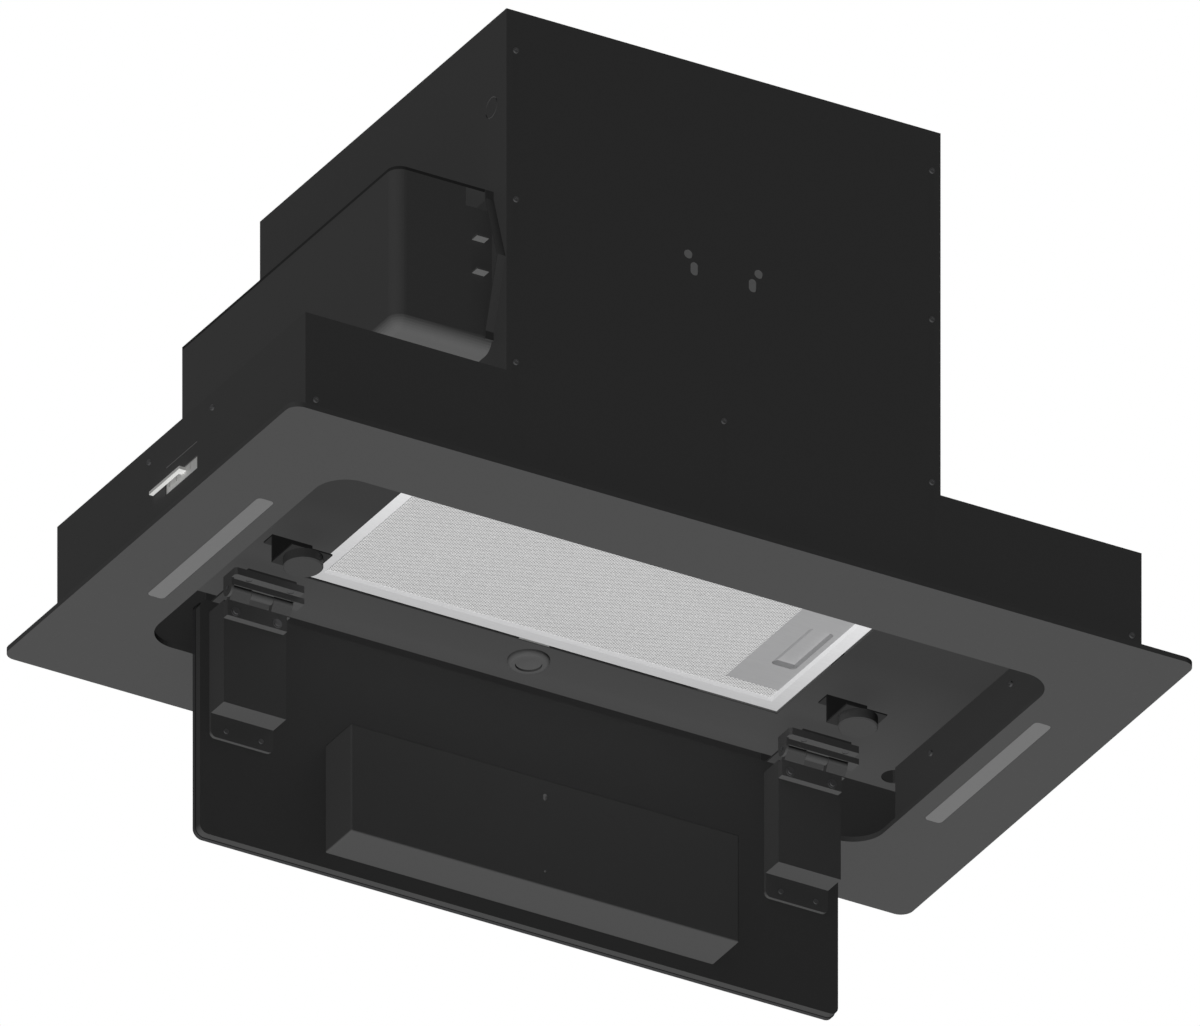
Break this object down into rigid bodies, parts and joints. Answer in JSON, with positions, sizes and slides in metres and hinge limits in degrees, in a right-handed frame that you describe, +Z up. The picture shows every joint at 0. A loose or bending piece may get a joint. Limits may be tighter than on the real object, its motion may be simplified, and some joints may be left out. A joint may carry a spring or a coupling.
{
  "type": "built-in range hood",
  "caption": "Built-in range hood with a framed recess, grease filter, hinged suction panel held by magnets, light strips, and a tall blower casing with a round duct collar.",
  "frame": {"origin": "centre of the frame plate on its upper face, the seat plane against the cabinet", "axes": "+X along the hood to the right as seen by the cook, +Y away from the cook, +Z up towards the duct"},
  "size_m": [0.9, 0.502, 0.7115],
  "materials": {
    "frame_paint": "satin dark grey powder coat on aluminium",
    "casing_paint": "satin dark grey powder coat",
    "panel_paint": "satin dark grey powder coat",
    "panel_glass": "black-backed toughened glass",
    "dark_plastic": "fine-grained moulded plastic",
    "hinge_metal": "black-passivated die-cast metal",
    "bracket_steel": "black-painted folded steel",
    "zinc_steel": "zinc-plated folded steel",
    "pin_steel": "ground steel",
    "screw_steel": "black-zinc pan-head screws",
    "magnet": "black-coated pot magnet",
    "filter_aluminium": "satin anodised",
    "filter_web": "expanded metal layers",
    "opal_cover": "satin grey opal",
    "light_body": "plain",
    "pale_plastic": "off-white",
    "board": "green laminate with parts",
    "scroll_plastic": "glass-filled plastic",
    "rotor_plastic": "glass-filled plastic",
    "motor_body": "painted steel"
  },
  "bodies": {
    "hood": {"frame_plate": "frame_paint", "light_diffusers": "opal_cover", "light_modules": "light_body", "lower_casing": "casing_paint", "corner_brackets": "zinc_steel", "recess_tray": "casing_paint", "motor_casing": "casing_paint", "duct_collar": "zinc_steel", "cable_gland": "dark_plastic", "filter_frame": "filter_aluminium", "filter_mesh": "filter_web", "filter_end_plate": "filter_aluminium", "hinge_base_left": "hinge_metal", "hinge_base_right": "hinge_metal", "hinge_base_screws": "screw_steel", "hinge_stand_left": "bracket_steel", "hinge_stand_right": "bracket_steel", "hinge_pins": "pin_steel", "magnet_brackets": "bracket_steel", "holding_magnets": "magnet", "button_bezel": "dark_plastic", "button_switch": "pale_plastic", "terminal_block": "pale_plastic", "electronics_housing": "dark_plastic", "housing_lid": "dark_plastic", "housing_strap": "bracket_steel", "control_board": "board", "blower_scroll": "scroll_plastic", "blower_motor": "motor_body", "motor_bracket": "zinc_steel", "casing_screws": "screw_steel", "tray_screws": "screw_steel"},
    "panel": {"suction_panel_back": "panel_paint", "suction_panel_glass": "panel_glass", "panel_arm_left": "dark_plastic", "panel_arm_right": "dark_plastic", "panel_arm_screws": "screw_steel", "air_guide": "dark_plastic", "hinge_leaf_left": "hinge_metal", "hinge_leaf_right": "hinge_metal", "hinge_leaf_screws": "screw_steel"},
    "button": {"button_cap": "dark_plastic"},
    "latch": {"filter_latch": "filter_aluminium"},
    "rotor": {"impeller": "rotor_plastic", "motor_shaft": "pin_steel"}
  },
  "joints": [
    {"name": "panel_hinge", "type": "hinge", "parent": "hood", "child": "panel", "pos_m": [0, 0.106, 0.031], "axis": [1, 0, 0], "range_deg": [-90, 0]},
    {"name": "button_press", "type": "slide", "parent": "hood", "child": "button", "axis": [0, 0, 1], "range_m": [0, 0.002], "stiffness_N_per_m": 150},
    {"name": "latch_slide", "type": "slide", "parent": "hood", "child": "latch", "axis": [-1, 0, 0], "range_m": [0, 0.006], "stiffness_N_per_m": 200, "springref_m": -0.002},
    {"name": "rotor_spin", "type": "hinge", "parent": "hood", "child": "rotor", "pos_m": [0, -0.0015, 0.243], "axis": [1, 0, 0], "continuous": true}
  ]
}
